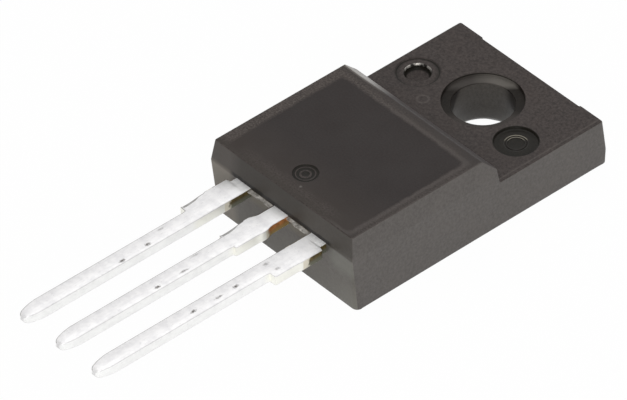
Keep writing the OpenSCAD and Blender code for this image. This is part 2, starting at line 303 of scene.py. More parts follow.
class Columns:
    """Upright lines of points round the body, as seen from above against the clock.

    Each has its plan normal, the side and end it belongs to, and its own height at the top edge.
    Where its X or Y isn't a number, the drafted faces give it.
    """

    def __init__(self):
        # Top edge of a side in Y and Z, with its three bends rounded
        line, right = rounded_line(
            [(-12.1, BODY_T), (STEP_Y, BODY_T), (STEP_Y + CHAMFER, BODY_T - CHAMFER), (FOOT_Y, TAB_T),
             (2.7, TAB_T)],
            [0.1, 0.1, 0.1],
        )
        self.side_count = len(line)
        self.rows = []
        corner = np.linspace(0, np.pi / 2, 6)
        lead_x = np.linspace(-4.4, 4.4, 23)
        tab_x = np.array([4.4, 3.9, 3.5, 3.45, 3.4, 3.35, 2.5, 1.5, 0.5])
        tab_x = np.concatenate([tab_x, -tab_x[::-1]])
        self.add(lead_x, np.nan, 0, -1, 0, -1, BODY_T)
        self.add(np.nan, np.nan, np.sin(corner), -np.cos(corner), 1, -1, BODY_T)
        self.right_start = len(self.rows)
        self.add(np.nan, line[:, 0], 1, 0, 1, 0, line[:, 1], right[:, 0], right[:, 1])
        self.add(np.nan, np.nan, np.cos(corner), np.sin(corner), 1, 1, TAB_T)
        self.add(tab_x, np.nan, 0, 1, 0, 1, TAB_T)
        self.add(np.nan, np.nan, -np.sin(corner), np.cos(corner), -1, 1, TAB_T)
        self.left_start = len(self.rows)
        back = slice(None, None, -1)
        self.add(np.nan, line[back, 0], -1, 0, -1, 0, line[back, 1], right[back, 0], right[back, 1])
        self.add(np.nan, np.nan, -np.cos(corner), -np.sin(corner), -1, -1, BODY_T)
        table = np.array(self.rows)
        names = ["x", "y", "nx", "ny", "side", "end", "top", "down_y", "down_z"]
        for i, name in enumerate(names):
            setattr(self, name, table[:, i])
        self.count = len(table)

    def add(self, x, y, nx, ny, side, end, top, down_y=0.0, down_z=-1.0):
        values = np.broadcast_arrays(x, y, nx, ny, side, end, top, down_y, down_z)
        self.rows += np.stack([np.ravel(v) for v in values], -1).astype(float).tolist()

    def at(self, z, inset=0.0, y=None):
        """Point of each column at height z, inset towards the inside of the plan by inset.

        Above its parting line the tab's end leans back further over the stretch of the recess.
        """
        z = np.broadcast_to(z, np.broadcast_shapes(np.shape(z), self.top.shape)).astype(float)
        lead_r = np.interp(z, [0, PARTING_Z, BODY_T], LEAD_CORNER_R)
        tab_r = np.interp(z, [0, TAB_PARTING_Z, TAB_T], TAB_CORNER_R)
        corner_r = np.where(self.end < 0, lead_r, tab_r)
        end_y = np.where(self.end < 0, lead_face(z), tab_face(z))
        inner = corner_r - inset
        x = np.where(np.isnan(self.x), self.side * (half_width(z) - corner_r) + inner * self.nx, self.x)
        fixed_y = self.y if y is None else y
        y = np.where(np.isnan(self.y), end_y - self.end * corner_r + inner * self.ny, fixed_y)
        recess = (self.end > 0) & (np.abs(np.nan_to_num(self.x, nan=9)) < RECESS_HALF)
        above = np.clip((z - TAB_PARTING_Z) / (TAB_T - TAB_PARTING_Z), 0, 1)
        y = y - np.where(recess, RECESS_DEPTH * above, 0)
        return np.stack([x, y, z], -1)


def body_skin():
    """Skin of the moulding.

    Upright columns run round the plan. Each starts on the top surface, rounds the top edge on a
    quadratic curve, follows the drafted wall down and rounds the bottom edge on another.
    """
    shell = Shell()
    c = Columns()
    edge_r = np.where(c.end > 0, 0.07, 0.06)
    t = np.linspace(0, 1, 5)
    inner = c.at(c.top, edge_r)
    edge = c.at(c.top)
    wall_z = c.top + edge_r * c.down_z
    low_y = c.y + edge_r * c.down_y
    rows = [curve_between(inner, edge, c.at(wall_z, 0, low_y), t)]

    # Rows down the wall lie closest at the two parting lines
    levels = [3.24, 3.2, 3.16, 2.3, 1.5, 0.92, 0.85, 0.78, 0.4]
    below = [np.minimum(level, wall_z - 0.012 * (k + 1)) for k, level in enumerate(levels)]
    rows.append(c.at(np.stack(below), 0, low_y))
    from_lead_end = np.clip((np.where(np.isnan(low_y), LEAD_END, low_y) - LEAD_END) / 1.5, 0, 1)
    foot_r = np.where(c.end < 0, 0.06, np.where(c.end > 0, 0.12, 0.06 + 0.09 * from_lead_end))
    low_wall = c.at(foot_r, 0, low_y)
    low_edge = c.at(0.0, 0, low_y)
    low_inner = c.at(0.0, foot_r, low_y)
    rows.append(curve_between(low_wall, low_edge, low_inner, t))
    walls = np.concatenate(rows)

    # The lead-end finish reaches the middle of the rounded corner on either side
    half_corner = 3
    finish = np.full((len(walls) - 1, c.count), SIDE)
    finish[:, :c.right_start - half_corner] = END_FACE
    finish[:, -half_corner:] = END_FACE
    finish[:2] = GRAINED
    shell.grid(walls, True, finish.ravel())

    # Step between the two levels: ruled straight across from one side to the other
    n = c.side_count
    right = inner[c.right_start:c.right_start + n]
    left = inner[c.left_start:c.left_start + n][::-1]
    first, last = 1, n - 2
    step = np.stack([right[first:last + 1], left[first:last + 1]], 1)
    shell.grid(step, False, STEP)

    # Level faces
    order = np.arange(c.count)
    thick = np.concatenate([order[c.left_start + n - 1 - first:], order[:c.right_start + first + 1]])
    tab = order[c.right_start + last:c.left_start + n - last]
    ejector = sunk(EJECTOR, BODY_T, EJECTOR_PROFILE, 48)
    left_pin = sunk(LEFT_PIN, TAB_T, LEFT_PIN_PROFILE, 64)
    right_pin = sunk(RIGHT_PIN, TAB_T, RIGHT_PIN_PROFILE, 64)
    mouth = ring((0, 0), BACK_MOUTH_R, 0.0, 96,
                 lambda a: 0.03 * np.cos(3 * a - 8.6) + 0.01 * np.sin(11 * a))
    hole_wall = np.concatenate([turned((0, 0), HOLE_PROFILE), mouth[None]])
    shell.flat(inner[thick][:, :2], [ejector[0][:, :2]], BODY_T, THICK_TOP)
    shell.rings(ejector, EJECTOR_PROFILE)
    openings = [loops[0][:, :2] for loops in (hole_wall, left_pin, right_pin)]
    shell.flat(inner[tab][:, :2], openings, TAB_T, GRAINED)
    shell.rings(left_pin, LEFT_PIN_PROFILE)
    shell.rings(right_pin, RIGHT_PIN_PROFILE)
    shell.rings(hole_wall, HOLE_PROFILE)
    shell.flat(low_inner[:, :2], [mouth[:, :2]], 0.0, BACK)
    return shell


# Leads

def section(left, right, low, high, top_left, top_right, bottom, y, corner_steps=4):
    """Closed cross-section of a lead in X and Z: a rectangle with elliptic corners, against the clock.

    top_left and top_right are (width, height) of the upper corners; the lower two have radius bottom.
    """
    a = np.linspace(0, np.pi / 2, corner_steps + 1)
    parts = [
        (right - bottom + bottom * np.sin(a), low + bottom - bottom * np.cos(a)),
        (right - top_right[0] + top_right[0] * np.cos(a), high - top_right[1] + top_right[1] * np.sin(a)),
        (left + top_left[0] - top_left[0] * np.sin(a), high - top_left[1] + top_left[1] * np.cos(a)),
        (left + bottom - bottom * np.cos(a), low + bottom - bottom * np.sin(a)),
    ]
    x = np.concatenate([p[0] for p in parts])
    z = np.concatenate([p[1] for p in parts])
    return np.stack([x, np.full_like(x, y), z], -1)


def outside_stations(outward):
    """Stations of a lead outside the body: distance from the face, edges, thinning and corner sizes.

    outward is the side away from the middle lead, or 0 on the middle lead. An outer lead widens on
    that side only. The root widens to the shoulder by t t (3 - 2 t), and the tip narrows by t squared.
    Where the tie bar was cut off, a lead that widens to the left has a sloping top edge there.
    """
    rows = []

    def add(d, half, thin=0.0, left_cut=None):
        left, right = -half, half
        if outward > 0:
            left, left_cut = (-NARROW_HALF if thin == 0 else left), None
        if outward < 0:
            right = NARROW_HALF if thin == 0 else right
        rows.append((d, left, right, thin, left_cut or LEAD_EDGE, LEAD_EDGE, 0.035))

    shoulder = SHOULDER_HALF if outward == 0 else 2 * SHOULDER_HALF - NARROW_HALF
    root = ROOT_HALF if outward == 0 else 2 * ROOT_HALF - NARROW_HALF
    start, widened = (0.95, 1.45) if outward == 0 else (0.35, 0.45)
    # On the middle lead a wider upper left corner at the root carries a line of painted shade
    hidden_edge = (0.09, 0.08) if outward == 0 else None
    for t in (0.0, 0.35, 0.7, 1.0):
        add(start * t, root, left_cut=hidden_edge)
    for t in (0.25, 0.5, 0.75, 1.0):
        half = root + (shoulder - root) * t * t * (3 - 2 * t)
        add(start + (widened - start) * t, half, left_cut=hidden_edge if t < 0.8 else None)
    add(1.6, shoulder)
    add(1.72, shoulder)
    cut = shoulder - 0.04
    for d, left_cut in ((1.84, (0.06, 0.05)), (2.15, (0.08, 0.07)), (2.45, (0.18, 0.13)),
                        (2.8, (0.23, 0.16)), (3.17, (0.23, 0.16))):
        add(d, cut, left_cut=left_cut)
    add(3.25, cut - 0.03)
    add(3.27, NARROW_HALF + 0.03)
    add(3.4, NARROW_HALF)
    for d in np.linspace(3.9, 12.1, 12):
        add(d, NARROW_HALF)
    for t in np.linspace(0, 1, 7)[:-1]:
        add(LEAD_LEN - TIP_LEN + TIP_LEN * t, NARROW_HALF - 0.215 * t * t, 0.07 * t + 1e-4)
    for short, half, thin in ((0.08, 0.22, 0.075), (0.02, 0.17, 0.11), (0.0, 0.1, 0.15)):
        add(LEAD_LEN - short, half, thin)
    return rows


def pad_stations(shift):
    """Stations of an outer lead inside the body, from the pad's inner end to the neck."""
    half = 0.95
    steps = ((-2.2, half - 0.25), (-1.95, half), (-0.7, half), (-0.45, ROOT_HALF), (-0.2, ROOT_HALF))
    return [(d, shift - h, shift + h, 0.0, INNER_EDGE, INNER_EDGE, 0.02) for d, h in steps]


def lead_loft(shell, x, stations):
    """Sections joined along the lead; y is the body's face minus the distance, and both ends are closed.

    The middle lead, at x 0, drops to the header plate's height in proportion to the distance inwards.
    """
    rows = []
    for d, left, right, thin, top_left, top_right, bottom in stations:
        bent = np.clip((-d - BEND_START) / BEND_LEN, 0, 1) if x == 0 else 0.0
        drop = (LEAD_TOP - HEADER_TOP) * bent
        rows.append(section(x + left, x + right, LEAD_H + thin - drop, LEAD_TOP - thin - drop,
                            top_left, top_right, bottom, LEAD_END - d))
    rows = np.stack(rows)
    distances = np.array([s[0] for s in stations])
    count = rows.shape[1]
    middle = ((distances[:-1] + distances[1:]) / 2)[:, None]

    # Faces of a section from its lower right corner: 4 the right side, 10 to 13 the upper left corner,
    # 14 the left side, 15 to 18 the lower left corner, 19 the bottom
    faces = np.arange(count)[None, :]
    right_side = (faces >= 3) & (faces <= 5)
    left_corner = (faces >= 10) & (faces <= 13)
    left_side = (faces >= 14) & (faces <= 18)
    finish = np.full((len(rows) - 1, count), PLATED)
    # The flat sides take a paler copy of the tin, painted light
    finish[:, [4, 14]] = LIT_FLANK
    finish[:, 10:14] = CUT_EDGE
    finish[(middle < 1.45) & right_side] = BARE
    # On the middle lead the bare left faces are painted dark, as shade
    finish[(middle < 0.85) & left_side] = BARE
    finish[(middle < 1.25) & left_corner] = BARE
    shell.grid(rows, True, finish.ravel())
    for end in (rows[0], rows[-1]):
        shell.add(end, [list(range(count))], PLATED)


def outer_lead(name, outward, finishes):
    shell = Shell()
    lead_loft(shell, outward * PITCH, pad_stations(outward * ROOT_SHIFT) + outside_stations(outward))
    return shell.build(name, finishes, smooth_angle=35)


def middle_lead(name, finishes):
    """Middle lead with the header plate: the lead bends down inside the body and ends in the plate.

    The plate is an outline with cut corners and a round notch about the hole, carried straight up.
    """
    shell = Shell()
    inside = [(d, -ROOT_HALF, ROOT_HALF, 0.0, INNER_EDGE, INNER_EDGE, 0.02)
              for d in (-2.65, -2.1, -0.7, -0.3)]
    lead_loft(shell, 0.0, inside + outside_stations(0))
    front = LEAD_END + HEADER_IN
    half = HEADER_HALF
    notch = np.radians(np.linspace(171, 369, 40))
    notch_r = HOLE_R + 1.0
    curve = np.stack([notch_r * np.cos(notch), notch_r * np.sin(notch)], -1)
    corners = np.array([(half - 0.5, front), (half, front + 0.5), (half, -0.1), (half - 0.5, 0.4)])
    outline = np.concatenate([corners, curve[::-1], corners[::-1] * [-1, 1]])
    low = np.hstack([outline, np.full((len(outline), 1), HEADER_H)])
    high = np.hstack([outline, np.full((len(outline), 1), HEADER_TOP)])
    shell.grid(np.stack([high, low]), True, PLATED)
    shell.flat(outline, [], HEADER_TOP, PLATED)
    shell.flat(outline, [], HEADER_H, PLATED)
    return shell.build(name, finishes, smooth_angle=35)


def flash_strip(shell, left, right, seed):
    """Ragged ledge of moulding squeezed out at the parting line between two leads.

    Its reach and height wander as sums of sines along X; its section is a low hump.
    """
    u = np.linspace(0, 1, 40)
    x = left + (right - left) * u
    wander = 0.5 + 0.28 * np.sin(7 * u + seed) + 0.14 * np.sin(17 * u + 2 * seed)
    wander = wander + 0.08 * np.sin(37 * u + seed)
    reach = 0.08 + 0.15 * wander
    lift = 0.025 * np.sin(13 * u + 3 * seed)
    inside = np.full_like(x, LEAD_END + 0.06)
    rows = [(inside, PARTING_Z - 0.04 + 0 * x), (LEAD_END - reach * 0.45, PARTING_Z - 0.08 + lift),
            (LEAD_END - reach * 0.85, PARTING_Z - 0.09 + lift),
            (LEAD_END - reach, PARTING_Z - 0.13 + lift),
            (LEAD_END - reach * 0.7, PARTING_Z - 0.22 + 0 * x), (inside, PARTING_Z - 0.36 + 0 * x)]
    grid = np.stack([np.stack([x, y, z], -1) for y, z in rows], 1)
    shell.grid(grid, True, 0)
    for end in (grid[0], grid[-1]):
        shell.add(end, [list(range(len(rows)))], 0)


# Finishes

class Nodes:
    """Small helper round one node tree."""

    def __init__(self, tree):
        self.tree = tree

    def put(self, value, socket):
        """Link value to the socket, or set it there where it is a plain number or colour."""
        if isinstance(value, bpy.types.NodeSocket):
            self.tree.links.new(value, socket)
        else:
            socket.default_value = value

    def node(self, kind, values=(), **settings):
        made = self.tree.nodes.new(kind)
        for key, value in settings.items():
            setattr(made, key, value)
        for key, value in dict(values).items():
            self.put(value, made.inputs[key])
        return made

    def maths(self, operation, a, b=0.0, c=0.0):
        return self.node("ShaderNodeMath", {0: a, 1: b, 2: c}, operation=operation).outputs[0]

    def times(self, first, *others):
        """Product of two or more values."""
        for value in others:
            first = self.maths("MULTIPLY", first, value)
        return first

    def ramp(self, value, low, high, to_low=0.0, to_high=1.0):
        made = self.node("ShaderNodeMapRange", {
            "Value": value, "From Min": low, "From Max": high, "To Min": to_low, "To Max": to_high})
        return made.outputs[0]

    def mix(self, share, a, b):
        """Colour a with a share of colour b."""
        return self.node("ShaderNodeMix", {0: share, 6: a, 7: b}, data_type="RGBA").outputs[2]


class Finish(Nodes):
    """One material of the regulator, with its shader and the place in the part that is being coloured."""

    def __init__(self, name):
        self.material = bpy.data.materials.new(name)
        self.material.use_nodes = True
        super().__init__(self.material.node_tree)
        self.shader = self.tree.nodes["Principled BSDF"]
        self.place = self.node("ShaderNodeTexCoord").outputs["Object"]

    def noise(self, feature_mm, detail=3.0, roughness=0.5, stretch=(1, 1, 1)):
        """Noise whose features are about feature_mm across."""
        place = self.node("ShaderNodeMapping", {"Vector": self.place, "Scale": stretch}).outputs[0]
        made = self.node("ShaderNodeTexNoise", {
            "Vector": place, "Scale": 1 / (feature_mm * MM), "Detail": detail, "Roughness": roughness})
        return made.outputs[0]

    def axis(self, name):
        """One coordinate of the place, in millimetres."""
        parts = self.node("ShaderNodeSeparateXYZ", {"Vector": self.place})
        return self.maths("MULTIPLY", parts.outputs[name], 1 / MM)

    def bump(self, height, depth_mm, strength=1.0):
        values = {"Height": height, "Distance": depth_mm * MM, "Strength": strength}
        return self.node("ShaderNodeBump", values).outputs[0]

    def set(self, **values):
        for key, value in values.items():
            self.put(value, self.shader.inputs[key.replace("_", " ")])
        return self.material


def rgb(r, g, b):
    """Colour written as display numbers from 0 to 255, as linear light."""
    c = np.array([r, g, b]) / 255
    c = np.where(c <= 0.04045, c / 12.92, ((c + 0.055) / 1.055) ** 2.4)
    return (*c.tolist(), 1.0)


def moulding_base(f, dark, light, grain_mm, roughness):
    """Charcoal epoxy: a speckle of two tones, dusty clouds and uneven gloss.

    Returns colour, speckle and roughness.
    """
    grain = f.noise(grain_mm, 2.0, 0.6)
    fine = f.noise(grain_mm * 0.45, 2.0, 0.6)
    cloud = f.noise(1.6, 3.0, 0.6)
    speckle = f.maths("ADD", f.times(grain, 0.65), f.times(fine, 0.35))
    colour = f.mix(f.ramp(speckle, 0.36, 0.64), rgb(*dark), rgb(*light))
    colour = f.mix(f.ramp(cloud, 0.45, 0.75, 0, 0.2), colour, rgb(*[v * 1.2 for v in light]))
    rough = f.ramp(cloud, 0.3, 0.7, roughness - 0.05, roughness + 0.05)
    return colour, speckle, rough


def moulding(name, dark, light, grain_mm, grain_depth, roughness, gloss, shade=None):
    """Epoxy moulding compound with the mould's grain as bump. shade changes its colour by place."""
    f = Finish(name)
    colour, speckle, rough = moulding_base(f, dark, light, grain_mm, roughness)
    if shade:
        colour = shade(f, colour)
    f.set(Specular_IOR_Level=gloss)
    return f.set(Base_Color=colour, Roughness=rough, Normal=f.bump(speckle, grain_depth))


def thick_top(name, dark, light, grain_mm, grain_depth, roughness, gloss):
    """Top of the thick part: grained round the edges, with a smooth dark field in the middle.

    The field is a rounded rectangle. Its lead-end border fades, and the +X and far borders have a
    light rim. Distance outside it is the smooth maximum of |x - x0| - a and |y - y0| - b, with its
    middle (x0, y0) and half sizes a and b.
    """
    f = Finish(name)
    colour, speckle, rough = moulding_base(f, dark, light, grain_mm, roughness)
    wander = f.ramp(f.noise(0.6, 3.0, 0.6), 0.2, 0.8, -0.12, 0.12)
    x, y = f.axis("X"), f.axis("Y")
    across = f.maths("SUBTRACT", f.maths("ABSOLUTE", f.maths("SUBTRACT", x, FIELD[0])), FIELD_HALF[0])
    along = f.maths("SUBTRACT", f.maths("ABSOLUTE", f.maths("SUBTRACT", y, FIELD[1])), FIELD_HALF[1])
    corner = f.maths("SMOOTH_MAX", across, along, 0.5)
    crisp = f.maths("MAXIMUM", f.ramp(f.maths("ABSOLUTE", x), 2.5, 3.6), f.ramp(y, -7.0, -5.6))
    out = f.maths("ADD", corner, f.times(wander, f.ramp(crisp, 0, 1, 1.6, 0.5)))
    soft = f.ramp(out, 0.25, -0.75)
    sharp = f.ramp(out, 0.08, -0.12)
    inside = f.maths("ADD", f.times(sharp, crisp),
                     f.times(soft, f.maths("SUBTRACT", 1.0, crisp)))
    quiet = f.mix(f.ramp(speckle, 0.3, 0.7, 0.1, 0.9), rgb(30, 24, 23), rgb(45, 39, 37))
    quiet = f.mix(f.ramp(y, -9.5, -12.0, 0, 0.8), quiet, rgb(52, 45, 41))
    colour = f.mix(f.ramp(y, -11.9, -12.3, 0, 0.75), colour, rgb(51, 46, 41))
    far = f.times(f.ramp(y, -5.3, -5.0), f.ramp(x, -3.0, 1.0, 0, 0.6))
    colour = f.mix(far, colour, rgb(55, 50, 47))
    colour = f.mix(f.ramp(x, 3.6, 4.2, 0, 0.5), colour, rgb(51, 46, 44))
    colour = f.mix(f.ramp(y, -4.85, -4.6, 0, 0.6), colour, rgb(50, 45, 43))
    # Painted highlight along the rounded ridge of the step, on its -X half
    ridge_highlight = f.times(f.ramp(y, -4.55, -4.49), f.ramp(x, -1.8, -3.4, 0, 0.7))
    colour = f.mix(ridge_highlight, colour, rgb(106, 101, 97))
    speck = f.ramp(nearest(f, [(0.43, -11.76)], 1.0), 0.09, 0.04)
    colour = f.mix(speck, colour, rgb(150, 146, 140))
    colour = f.mix(inside, colour, quiet)
    rim = f.times(f.ramp(out, -0.06, 0.05), f.ramp(out, 0.26, 0.12))
    rim = f.times(rim, f.times(crisp, f.ramp(x, -3.0, 0.0, 0, 0.22)))
    colour = f.mix(rim, colour, rgb(102, 96, 93))
    rough = f.maths("SUBTRACT", rough, f.times(inside, 0.06))
    f.set(Specular_IOR_Level=gloss)
    normal = f.bump(speckle, grain_depth, f.ramp(inside, 0, 1, 1.0, 0.25))
    return f.set(Base_Color=colour, Roughness=rough, Normal=normal)


def lead_end_shade(f, colour):
    """Face at the lead end: darker above the leads, paler towards the back face and in both corners.

    The paleness towards the back face is painted light from the floor, and low in the +X corner a painted
    highlight on the rounding. Between the leads it has olive flash dust, and along the parting line a dark
    seam of painted shade.
    """
    z, x = f.axis("Z"), f.axis("X")
    above = f.ramp(z, 3.1, 3.4)
    colour = f.mix(f.times(above, 0.8), colour, rgb(62, 58, 54))
    colour = f.mix(f.times(above, f.ramp(x, 2.5, -1.5, 0, 0.7)), colour, rgb(50, 46, 42))
    colour = f.mix(f.times(above, f.ramp(x, -2.9, -3.7, 0, 0.42)), colour, rgb(94, 88, 84))
    middle = f.times(f.ramp(x, -0.8, 0.3), f.ramp(x, 1.8, 1.1, 0, 0.35))
    colour = f.mix(f.times(above, middle), colour, rgb(40, 36, 30))
    # Painted light: paler towards the back face, standing in for light from the white floor
    colour = f.mix(f.ramp(z, 2.4, 0.3, 0, 0.5), colour, rgb(104, 102, 96))
    # Painted highlight on the rounding low in the +X corner
    corner = f.times(f.ramp(x, 3.0, 4.9), f.ramp(z, 2.0, 0.2))
    colour = f.mix(f.times(corner, 0.7), colour, rgb(116, 114, 107))
    high = f.times(f.ramp(x, 3.1, 3.7), f.times(f.ramp(z, 1.7, 2.4), f.ramp(z, 3.2, 3.1)))
    colour = f.mix(f.times(high, 0.5), colour, rgb(118, 118, 111))
    outer = f.times(f.ramp(x, -3.2, -3.7), f.ramp(z, 3.4, 3.1))
    colour = f.mix(f.times(outer, 0.7), colour, rgb(128, 121, 111))
    band = f.times(f.ramp(z, 2.2, 2.7), f.ramp(z, 3.3, 3.1))
    band = f.times(band, f.ramp(f.maths("ABSOLUTE", x), 3.2, 2.9))
    colour = f.mix(f.times(band, 0.5), colour, rgb(104, 96, 78))
    # Painted shade: a dark wandering seam along the parting line
    height = f.maths("ADD", z, f.ramp(f.noise(0.35, 3.0, 0.6), 0.3, 0.7, -0.035, 0.035))
    seam = f.times(f.ramp(height, 3.15, 3.19), f.ramp(height, 3.42, 3.35))
    seam = f.times(seam, f.ramp(f.maths("ABSOLUTE", x), 3.6, 3.3))
    return f.mix(f.times(seam, 0.95), colour, rgb(20, 17, 15))


def step_shade(f, colour):
    """Painted highlight: a pale patch where the step runs out at its -X end, palest along the ridge.

    It stands in for the white floor's reflection.
    """
    # Painted highlight standing in for the white floor's reflection
    patch = f.times(f.ramp(f.axis("X"), -1.8, -3.6), f.ramp(f.axis("Z"), 2.9, 4.2, 0.2, 0.95))
    return f.mix(patch, colour, rgb(160, 156, 152))


def towards(f, angle):
    """Distance in millimetres from the hole's axis along a level direction, angle degrees from +X."""
    a = np.radians(angle)
    return f.maths("ADD", f.times(f.axis("X"), float(np.cos(a))),
                   f.times(f.axis("Y"), float(np.sin(a))))


def bore_shade(f, colour):
    """Hole's wall: dark high on both flanks as painted shade, paler near the back face as painted light.

    On the -X flank the painted shade reaches down to a slanting line. The paleness stands in for the
    floor's light.
    """
    # Painted shade high on both flanks, as seen across the view
    right = f.times(f.ramp(towards(f, ACROSS_VIEW), 1.05, 1.35), f.ramp(f.axis("Z"), 0.7, 1.7))
    slant = f.maths("SUBTRACT", f.times(f.axis("Z"), 0.448), towards(f, ACROSS_VIEW))
    flank = f.maths("MAXIMUM", right, f.ramp(slant, 2.03, 2.2))
    colour = f.mix(f.times(flank, 0.95), colour, rgb(33, 29, 26))
    # Painted light near the back face, standing in for light from the white floor
    return f.mix(f.ramp(f.axis("Z"), 1.1, 0.2, 0, 0.6), colour, rgb(110, 107, 102))


def ledge_shade(f, colour):
    """Ledge in the hole's mouth: dark on both flanks as painted shade, and paler on the side away from the
    view as painted light, and on the opposite side.

    The side away from the view is palest towards +Y, a painted highlight.
    """
    along = towards(f, AWAY_FROM_VIEW)
    # Painted light on the side away from the view
    far = f.ramp(along, 0.95, 1.3)
    colour = f.mix(far, colour, rgb(66, 62, 59))
    colour = f.mix(f.ramp(along, -0.6, -1.1), colour, rgb(60, 55, 52))
    # Painted highlight on that side, strongest towards +Y
    bright = f.times(far, f.ramp(towards(f, ACROSS_VIEW), -0.5, 0.6))
    return f.mix(bright, colour, rgb(98, 94, 89))


def tab_shade(f, colour):
    """Tab: painted shade on the flanks of the left pin mark's groove, a faint ring and a thin pale line
    by the +X edge.
    """
    beside = nearest(f, [LEFT_PIN], 1.0)
    across = f.maths("SUBTRACT", towards(f, ACROSS_VIEW), LEFT_PIN_ACROSS)
    # Painted shade on the flanks of the groove, as seen across the view
    groove = f.times(f.ramp(beside, 0.84, 0.98), f.ramp(beside, 1.16, 1.06))
    flank = f.ramp(f.maths("ABSOLUTE", across), 0.4, 0.9, 0, 0.75)
    colour = f.mix(f.times(groove, flank), colour, rgb(34, 30, 27))
    away = nearest(f, [FAINT_RING], 1.0)
    ring_mark = f.times(f.ramp(away, 0.2, 0.25), f.ramp(away, 0.36, 0.31))
    colour = f.mix(f.times(ring_mark, 0.25), colour, rgb(108, 101, 97))
    line = f.times(f.ramp(f.axis("X"), 4.72, 4.76), f.ramp(f.axis("X"), 4.84, 4.8))
    return f.mix(f.times(line, 0.25), colour, rgb(104, 98, 94))


def nearest(f, places, stretch):
    """Distance in millimetres, level, from the nearest of some places; Y counts stretch times."""
    scales = (1 / MM, stretch / MM, 0)
    flat = f.node("ShaderNodeVectorMath", {0: f.place, 1: scales}, operation="MULTIPLY").outputs[0]
    found = None
    for x, y in places:
        spot = {0: flat, 1: (x, y * stretch, 0)}
        away = f.node("ShaderNodeVectorMath", spot, operation="DISTANCE").outputs["Value"]
        found = f.maths("MINIMUM", found, away) if found else away
    return found


def tin(name, bright, dull, pits=(), tint=0.0):
    """Dull electroplated tin: grey-white with faint streaks along the lead and a few dark pits and smears.

    tint is how much yellow the plating has on the shoulders. It is palest close to the body, painted light
    that offsets the body's shade.
    """
    f = Finish(name)
    streak = f.noise(0.16, 3.0, 0.6, (1, 0.1, 1))
    blotch = f.noise(0.45, 4.0, 0.65)
    scuff = f.noise(0.09, 3.0, 0.7, (1, 0.35, 1))
    colour = f.mix(f.ramp(blotch, 0.42, 0.68), rgb(*bright), rgb(*dull))
    colour = f.mix(f.ramp(streak, 0.5, 0.72, 0, 0.7), colour, rgb(*dull))
    colour = f.mix(f.ramp(scuff, 0.6, 0.75, 0, 0.6), colour, rgb(*[v * 0.86 for v in dull]))
    height = f.maths("ADD", streak, f.noise(0.06, 2.0))
    for places, stretch, radius, strength in pits:
        edge = f.ramp(f.noise(0.1, 2.0), 0.2, 0.8, -radius / 2, radius / 2)
        pit = f.ramp(f.maths("ADD", nearest(f, places, stretch), edge), radius, radius / 4, 0, strength)
        pit = f.times(pit, f.ramp(f.axis("Y"), -17.2, -16.4, 1.0, 0.5))
        colour = f.mix(pit, colour, rgb(88, 84, 80))
        height = f.maths("SUBTRACT", height, f.times(pit, 2.0))
    shoulder = f.times(f.ramp(f.axis("Y"), -13.9, -14.2), f.ramp(f.axis("Y"), -16.3, -15.9))
    colour = f.mix(f.times(shoulder, tint), colour, rgb(248, 246, 222))
    # Painted light: palest close to the body, offsetting the body's shade
    colour = f.mix(f.ramp(f.axis("Y"), -13.7, -12.9, 0, 0.85), colour, rgb(253, 253, 252))
    rough = f.ramp(streak, 0.3, 0.7, 0.36, 0.5)
    return f.set(Base_Color=colour, Metallic=0.6, Roughness=rough, Normal=f.bump(height, 0.003))


def rim_painted_glints(name):
    """Rims of the two marks beside the hole, with painted glints on their side away from the view.

    The left one has broken bright metal-like painted glints. The right one has a painted highlight, a
    little paler than the epoxy.
    """
    f = Finish(name)
    broken = f.noise(0.2, 2.0, 0.6)
    # Painted glints on the left mark's rim, on its side away from the view
    left = f.times(f.ramp(towards(f, AWAY_FROM_VIEW), 2.15, 2.6), f.ramp(broken, 0.4, 0.62))
    left = f.times(left, f.ramp(f.axis("X"), -2.0, -2.4))
    # Painted highlight on the right mark's inner rims, on its side away from the view
    right = f.times(f.ramp(towards(f, AWAY_FROM_VIEW), -2.95, -2.8), f.ramp(f.axis("X"), 2.0, 2.4))
    colour = f.mix(left, rgb(34, 31, 28), rgb(176, 172, 166))
    colour = f.mix(right, colour, rgb(118, 113, 102))
    rough = f.ramp(left, 0, 1, 0.45, 0.35)
    metal = f.times(left, 0.7)
    f.set(Specular_IOR_Level=0.15)
    return f.set(Base_Color=colour, Metallic=metal, Roughness=rough, Normal=f.bump(broken, 0.004))


def copper(name):
    """Bare copper on the cut sides of a root: orange-brown on the middle lead, olive on the outer two.

    Painted shade makes the middle lead's -X side dark and darkens the outer two's olive oxide.
    """
    f = Finish(name)
    smear = f.noise(0.2, 3.0, 0.6)
    z = f.axis("Z")
    fresh = f.mix(f.ramp(smear, 0.35, 0.65), rgb(204, 136, 76), rgb(150, 100, 58))
    fresh = f.mix(f.ramp(z, 3.0, 2.75), fresh, rgb(158, 136, 86))
    # Olive oxide on the outer leads, darkened as painted shade
    tarnished_and_shaded = f.mix(f.ramp(smear, 0.35, 0.65), rgb(112, 98, 56), rgb(74, 62, 38))
    tarnished_and_shaded = f.mix(f.ramp(z, 3.0, 2.8), tarnished_and_shaded, rgb(112, 112, 98))
    x = f.axis("X")
    # Painted shade: dark on the middle lead's -X side
    fresh = f.mix(f.ramp(x, 0.1, -0.1), fresh, rgb(64, 52, 42))
    colour = f.mix(f.ramp(f.maths("ABSOLUTE", x), 1.2, 1.4), fresh, tarnished_and_shaded)
    reach = f.maths("ADD", f.axis("Y"), f.ramp(f.noise(0.3, 2.0), 0.3, 0.7, -0.15, 0.15))
    colour = f.mix(f.ramp(reach, -13.85, -14.0), colour, rgb(228, 222, 206))
    normal = f.bump(f.noise(0.05, 2.0, 0.5, (1, 1, 0.2)), 0.004)
    rough = f.ramp(smear, 0.3, 0.7, 0.4, 0.55)
    return f.set(Base_Color=colour, Metallic=0.55, Roughness=rough, Normal=normal)


